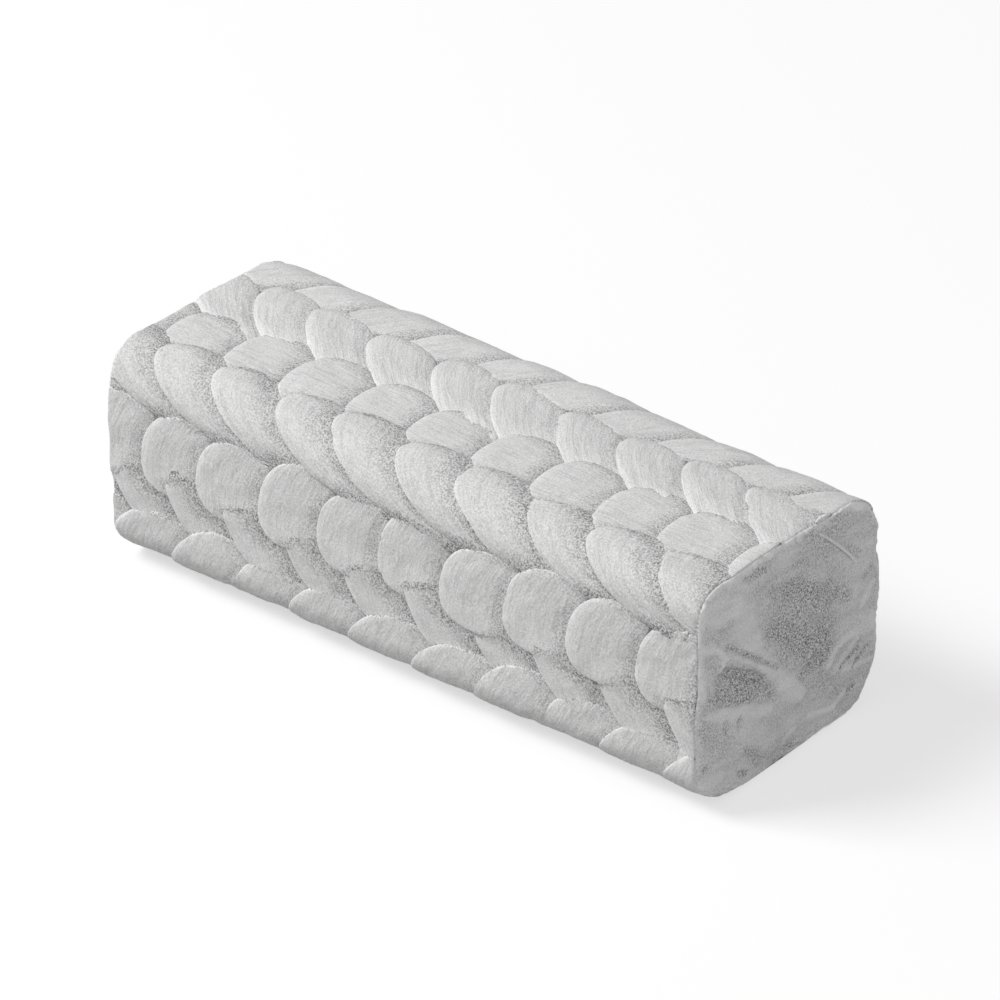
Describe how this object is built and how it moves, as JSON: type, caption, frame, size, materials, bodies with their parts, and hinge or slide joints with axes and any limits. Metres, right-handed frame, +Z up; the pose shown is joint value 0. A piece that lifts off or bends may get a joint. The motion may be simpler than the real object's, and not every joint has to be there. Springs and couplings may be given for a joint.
{
  "type": "braided gland packing",
  "caption": "Straight length of square braided packing with cut ends, pressed into a stuffing box round a shaft or valve stem to seal it.",
  "frame": {"origin": "centre of the underside's bounding box", "axes": "+X along the packing towards the cut end that shows in the picture, +Z up, -Y towards the side that shows"},
  "size_m": [0.076, 0.0286, 0.025],
  "materials": {
    "braid_yarn": "matte braided yarn, off-white"
  },
  "bodies": {
    "root": {"braided_packing": "braid_yarn"}
  },
  "joints": []
}
